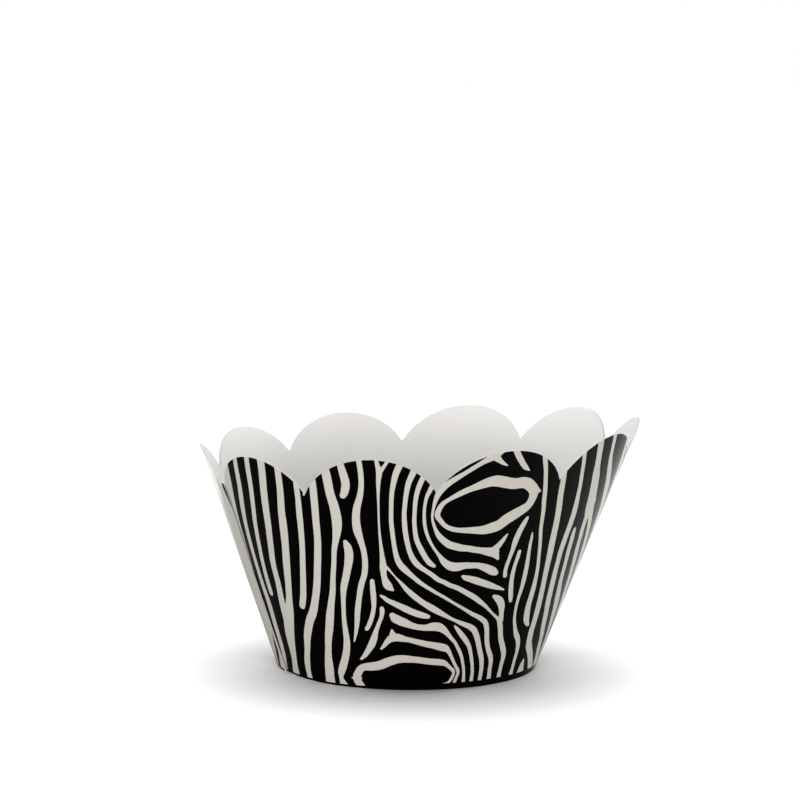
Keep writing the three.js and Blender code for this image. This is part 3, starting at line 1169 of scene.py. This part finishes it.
@dataclass
class Wrapper:
    """The one piece: a printed sheet, curved, lapped and glued."""

    ring: Ring
    finish: PrintedCard
    foot: Vector = field(default_factory=Vector)

    def build(self) -> bpy.types.Object:
        """Makes the wrapper in its place on the frame.

        Returns:
            The finished object, which stands for the frame's node.
        """
        flat = linked("flat_blank", Blank(self.ring, StripePrint(self.ring)).mesh())
        wrap = WrapTree(self.ring)
        modifier = flat.modifiers.new("wrap", "NODES")
        modifier.node_group = wrap.build(self.finish.build())
        sizes = wrap.sizes()
        for item in modifier.node_group.interface.items_tree:
            if item.in_out == "INPUT" and item.name in sizes:
                modifier[item.identifier] = sizes[item.name]
        evaluated = flat.evaluated_get(bpy.context.evaluated_depsgraph_get())
        mesh = bpy.data.meshes.new_from_object(evaluated)
        flat.modifiers.clear()
        bpy.data.objects.remove(flat)
        mesh.name = "striped_wrapper"
        self.settle(mesh)
        self.smooth(mesh)
        piece = linked("striped_wrapper", mesh)
        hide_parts("wrapper")
        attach(piece, "root")
        LOG.info("%s: %d points, %d faces", piece.name, len(mesh.vertices), len(mesh.polygons))
        return piece

    def settle(self, mesh: bpy.types.Mesh) -> None:
        """Moves the mesh over the middle of the frame's node and keeps where the ring's axis then stands.

        Args:
            mesh: the curved sheet.
        """
        places = gathered(mesh.vertices, "co", 3)
        middle = (places.min(axis=0) + places.max(axis=0)) / 2
        low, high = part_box(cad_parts["wrapper"].name)
        self.foot = Vector(((low[0] + high[0]) / 2 - middle[0], (low[1] + high[1]) / 2 - middle[1], 0))
        mesh.transform(Matrix.Translation(self.foot))

    def smooth(self, mesh: bpy.types.Mesh) -> None:
        """Gives the two sides the ring's true normals, and keeps the cut edge square.

        Args:
            mesh: the curved sheet.
        """
        facing = gathered(mesh.attributes["facing"].data, "vector", 3)
        mesh.attributes.remove(mesh.attributes["facing"])
        mesh.shade_smooth()
        sizes = gathered(mesh.polygons, "loop_total", kind=int)
        own = np.repeat(gathered(mesh.polygons, "normal", 3), sizes, axis=0)
        edge = np.repeat(gathered(mesh.attributes["cut_edge"].data, "value"), sizes) > 0.5
        normals = facing[gathered(mesh.loops, "vertex_index", kind=int)]
        normals[(normals * own).sum(axis=1) < 0] *= -1
        normals[edge] = own[edge]
        mesh.normals_split_custom_set(normals.tolist())


@dataclass(frozen=True)
class SkyPanel:
    """A wide, even light from far above."""

    name: str
    direction: tuple[float, float, float]
    spread: float
    strength: float

    def build(self) -> None:
        """Adds the lamp."""
        data = bpy.data.lights.new(self.name, "SUN")
        data.angle = math.radians(self.spread)
        data.energy = self.strength
        lamp = linked(self.name, data)
        lamp.rotation_euler = (-Vector(self.direction)).to_track_quat("-Z", "Y").to_euler()


@dataclass(frozen=True)
class Softbox:
    """An oblong area lamp that looks at the middle of the wrapper."""

    name: str
    place: tuple[float, float, float]
    width: float
    height: float
    watts: float
    colour: tuple[float, float, float] = (1, 1, 1)
    target: tuple[float, float, float] = (0, 0, 0.025)

    def build(self) -> None:
        """Adds the lamp."""
        data = bpy.data.lights.new(self.name, "AREA")
        data.shape = "RECTANGLE"
        data.size = self.width
        data.size_y = self.height
        data.energy = self.watts
        data.color = self.colour
        lamp = linked(self.name, data)
        lamp.location = self.place
        lamp.rotation_euler = (Vector(self.target) - Vector(self.place)).to_track_quat("-Z", "Y").to_euler()


@dataclass
class Studio:
    """White floor, soft light and the camera at the photograph's viewing angle."""

    foot: Vector
    floor_size: float = 6.0
    floor_seen: Colour = (0.92, 0.92, 0.92, 1)
    floor_bounce: Colour = (0.24, 0.27, 0.25, 1)
    # Painted reflection: to glossy rays alone, the floor is dim on the left and in front, and bright and
    # glowing to the right and behind
    floor_painted_reflection_dim: Colour = (0.25, 0.25, 0.25, 1)
    floor_painted_reflection_bright: Colour = (0.86, 0.96, 0.92, 1)
    painted_reflection_rightward: tuple[float, float] = (-0.02, 0.09)
    painted_reflection_behind: tuple[float, float] = (0.05, 0.15)
    seen_glow: float = 0.02
    painted_reflection_glow: float = 0.3
    world_fill: float = 0.1
    distance: float = 0.640
    aim_height: float = 0.022
    elevation: float = 10.14
    pitch: float = 7.52
    yaw: float = -0.16
    roll: float = 0.625
    sensor_width: float = 36
    focal_pixels: float = 3294
    picture_pixels: float = 800
    nearest: float = 0.01
    lamps: tuple[Any, ...] = (
        SkyPanel("sky_panel", (0.0, 0.24, 1), 68, 3.9),
        Softbox("front_softbox", (0.05, -1.0, 0.125), 1.0, 0.25, 8.5, (1, 0.955, 0.93)),
        Softbox("right_softbox", (0.42, 0.2, 0.08), 0.25, 0.16, 1.1),
        Softbox("left_softbox", (-0.7, -0.05, 0.12), 0.5, 0.24, 1.6),
        Softbox("back_softbox", (0.0, 0.9, 0.12), 0.6, 0.24, 2.0),
    )

    def build(self) -> None:
        """Builds the whole studio."""
        self.floor()
        self.world()
        for lamp in self.lamps:
            lamp.build()
        self.camera()
        bpy.context.scene.view_settings.view_transform = "Standard"

    def floor(self) -> None:
        """Adds a pale floor that the camera sees as white where nothing shades it, and whose tone in
        reflections is painted.
        """
        half = self.floor_size / 2
        mesh = bpy.data.meshes.new("floor")
        corners = [(-half, -half, 0), (half, -half, 0), (half, half, 0), (-half, half, 0)]
        mesh.from_pydata(corners, [], [(0, 1, 2, 3)])
        floor = linked("floor", mesh)
        material = bpy.data.materials.new("pale_floor")
        sheet = cleared(material)
        rays = sheet.node("ShaderNodeLightPath")
        seen, mirrored = sheet.term(rays, "Is Camera Ray"), sheet.term(rays, "Is Glossy Ray")
        place = sheet.term(sheet.node("ShaderNodeTexCoord"), "Object")
        # Painted reflection: the wrapper's coat fades to white on its right and stays dark on its left,
        # because the floor's glossy tone and glow change with place
        axes = sheet.node("ShaderNodeSeparateXYZ", Vector=place)
        rightward = sheet.ease(sheet.term(axes, "X"), *self.painted_reflection_rightward)
        behind = sheet.ease(sheet.term(axes, "Y"), *self.painted_reflection_behind)
        painted_reflection_side = rightward.math("MAXIMUM", behind)
        gloss = sheet.mix(painted_reflection_side, self.floor_painted_reflection_dim, self.floor_painted_reflection_bright)
        tone = sheet.mix(mirrored, self.floor_bounce, gloss)
        matt = sheet.node("ShaderNodeBsdfDiffuse", Color=sheet.mix(seen, tone, self.floor_seen))
        strength = seen * self.seen_glow + mirrored * painted_reflection_side * self.painted_reflection_glow
        glow = sheet.node("ShaderNodeEmission", Strength=strength)
        both = sheet.node("ShaderNodeAddShader", slots=(sheet.term(matt), sheet.term(glow)))
        sheet.node("ShaderNodeOutputMaterial", Surface=sheet.term(both))
        mesh.materials.append(material)

    def world(self) -> None:
        """Adds a world that is white to the camera and in reflections, and softer as a light."""
        world = bpy.data.worlds.new("studio")
        sheet = cleared(world)
        rays = sheet.node("ShaderNodeLightPath")
        seen = sheet.term(rays, "Is Camera Ray").math("MAXIMUM", sheet.term(rays, "Is Glossy Ray"))
        strength = self.world_fill + (1 - self.world_fill) * seen
        white = sheet.node("ShaderNodeBackground", Color=(1, 1, 1, 1), Strength=strength)
        sheet.node("ShaderNodeOutputWorld", Surface=sheet.term(white))
        bpy.context.scene.world = world

    def camera(self) -> None:
        """Adds the camera at the viewing angle, turn and roll that the photograph shows."""
        rise = math.radians(self.elevation)
        place = self.foot + Vector((0, -math.cos(rise), math.sin(rise))) * self.distance
        place.z += self.aim_height
        pitch, yaw, roll = (math.radians(angle) for angle in (self.pitch, self.yaw, self.roll))
        forward = Vector((math.sin(yaw) * math.cos(pitch), math.cos(yaw) * math.cos(pitch), -math.sin(pitch)))
        level = forward.cross(Vector((0, 0, 1))).normalized()
        upright = level.cross(forward)
        right = level * math.cos(roll) + upright * math.sin(roll)
        up = upright * math.cos(roll) - level * math.sin(roll)
        data = bpy.data.cameras.new("camera")
        data.sensor_width = self.sensor_width
        data.lens = self.sensor_width * self.focal_pixels / self.picture_pixels
        data.clip_start = self.nearest
        camera = linked("camera", data)
        turn = Matrix((right, up, -forward)).transposed().to_quaternion()
        camera.matrix_world = Matrix.LocRotScale(place, turn, None)
        bpy.context.scene.camera = camera


def main() -> None:
    """Builds the wrapper and the studio, and reports each piece."""
    logging.basicConfig(level=logging.INFO, format="%(message)s")
    wrapper = Wrapper(Ring(), PrintedCard())
    wrapper.build()
    Studio(wrapper.foot).build()


if __name__ == "__main__":
    main()
